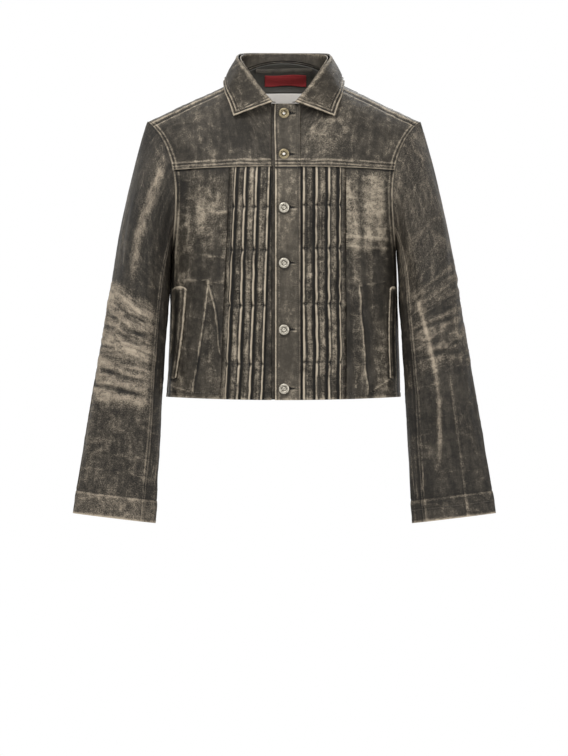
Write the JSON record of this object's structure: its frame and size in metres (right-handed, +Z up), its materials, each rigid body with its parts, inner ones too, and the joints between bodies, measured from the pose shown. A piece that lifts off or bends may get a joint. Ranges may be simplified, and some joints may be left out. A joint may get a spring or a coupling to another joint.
{
  "type": "leather jacket",
  "caption": "Cropped boxy leather jacket with a turned-down collar, pleated button front, back neck hang loop and set-in sleeves that swing and bend",
  "frame": {"origin": "centre of the neck seat, where a hanger's neck carries the jacket, midway between the shoulder seams' inner ends", "axes": "+Z up, the front faces -Y, +X is the wearer's left side"},
  "size_m": [0.6766, 0.2315, 0.7574],
  "materials": {
    "body_leather": "distressed charcoal leather, matt grain with worn taupe edges",
    "sleeve_leather": "distressed charcoal leather with tan elbow creases",
    "worn_leather": "charcoal leather with pale rubbed edges",
    "inner_leather": "dark leather, matt",
    "loop_leather": "narrow folded leather strip",
    "facing_satin": "dark olive-grey satin",
    "lining_cotton": "off-white cotton",
    "label_weave": "red woven label without text",
    "cap_metal": "antique silver-brass plate",
    "tack_metal": "plain plated steel"
  },
  "bodies": {
    "torso": {"left_front_yoke": "body_leather", "right_front_yoke": "body_leather", "back_yoke": "body_leather", "left_pleat_panel": "body_leather", "right_pleat_panel": "body_leather", "left_front_panel": "body_leather", "right_front_panel": "body_leather", "back_centre_panel": "body_leather", "left_back_panel": "body_leather", "right_back_panel": "body_leather", "left_placket": "worn_leather", "right_button_band": "inner_leather", "right_front_facing": "facing_satin", "collar_stand": "inner_leather", "under_collar": "inner_leather", "upper_collar": "body_leather", "neck_facing": "facing_satin", "neck_label": "label_weave", "hem_facing": "inner_leather", "left_front_lining": "lining_cotton", "right_front_lining": "lining_cotton", "back_lining": "lining_cotton", "left_pocket_welt": "worn_leather", "right_pocket_welt": "worn_leather", "left_pocket_bag": "lining_cotton", "right_pocket_bag": "lining_cotton", "button_tacks": "tack_metal"},
    "left_upper_arm": {"left_top_sleeve": "sleeve_leather", "left_under_sleeve": "sleeve_leather", "left_sleeve_lining": "lining_cotton"},
    "left_lower_arm": {"left_top_forearm": "sleeve_leather", "left_under_forearm": "sleeve_leather", "left_forearm_lining": "lining_cotton", "left_cuff_facing": "inner_leather"},
    "right_upper_arm": {"right_top_sleeve": "sleeve_leather", "right_under_sleeve": "sleeve_leather", "right_sleeve_lining": "lining_cotton"},
    "right_lower_arm": {"right_top_forearm": "sleeve_leather", "right_under_forearm": "sleeve_leather", "right_forearm_lining": "lining_cotton", "right_cuff_facing": "inner_leather"},
    "loop": {"hang_loop": "loop_leather"},
    "button_1": {"button_cap_1": "cap_metal"},
    "button_2": {"button_cap_2": "cap_metal"},
    "button_3": {"button_cap_3": "cap_metal"},
    "button_4": {"button_cap_4": "cap_metal"},
    "button_5": {"button_cap_5": "cap_metal"},
    "button_6": {"button_cap_6": "cap_metal"}
  },
  "joints": [
    {"name": "arm_left_swing", "type": "hinge", "parent": "torso", "child": "left_upper_arm", "pos_m": [0.2192, 0, -0.0565], "axis": [0, -1, 0], "range_deg": [0, 30]},
    {"name": "arm_left_elbow", "type": "hinge", "parent": "left_upper_arm", "child": "left_lower_arm", "pos_m": [0.24291, -0.08507, -0.43496], "axis": [-0.9682, 0, -0.25], "range_deg": [0, 75], "stiffness_Nm_per_rad": 1.5, "springref_deg": -11.46},
    {"name": "arm_right_swing", "type": "hinge", "parent": "torso", "child": "right_upper_arm", "pos_m": [-0.2192, 0, -0.0565], "axis": [0, 1, 0], "range_deg": [0, 30]},
    {"name": "arm_right_elbow", "type": "hinge", "parent": "right_upper_arm", "child": "right_lower_arm", "pos_m": [-0.24291, -0.08507, -0.43496], "axis": [-0.9682, 0, 0.25], "range_deg": [0, 75], "stiffness_Nm_per_rad": 1.5, "springref_deg": -11.46},
    {"name": "loop_swing", "type": "hinge", "parent": "torso", "child": "loop", "pos_m": [0, 0.03889, 0.031], "axis": [-1, 0, 0], "range_deg": [0, 70]},
    {"name": "button_1_spin", "type": "hinge", "parent": "torso", "child": "button_1", "pos_m": [0, -0.08133, -0.047], "axis": [0, -0.9734, 0.2289], "continuous": true},
    {"name": "button_2_spin", "type": "hinge", "parent": "torso", "child": "button_2", "pos_m": [0, -0.10075, -0.113], "axis": [0, -0.9566, 0.2912], "continuous": true},
    {"name": "button_3_spin", "type": "hinge", "parent": "torso", "child": "button_3", "pos_m": [0, -0.11504, -0.198], "axis": [0, -1, 0], "continuous": true},
    {"name": "button_4_spin", "type": "hinge", "parent": "torso", "child": "button_4", "pos_m": [0, -0.11359, -0.286], "axis": [0, -0.9993, -0.0386], "continuous": true},
    {"name": "button_5_spin", "type": "hinge", "parent": "torso", "child": "button_5", "pos_m": [0, -0.10834, -0.392], "axis": [0, -0.9987, -0.0507], "continuous": true},
    {"name": "button_6_spin", "type": "hinge", "parent": "torso", "child": "button_6", "pos_m": [0, -0.10512, -0.486], "axis": [0, -0.9999, -0.0102], "continuous": true}
  ]
}
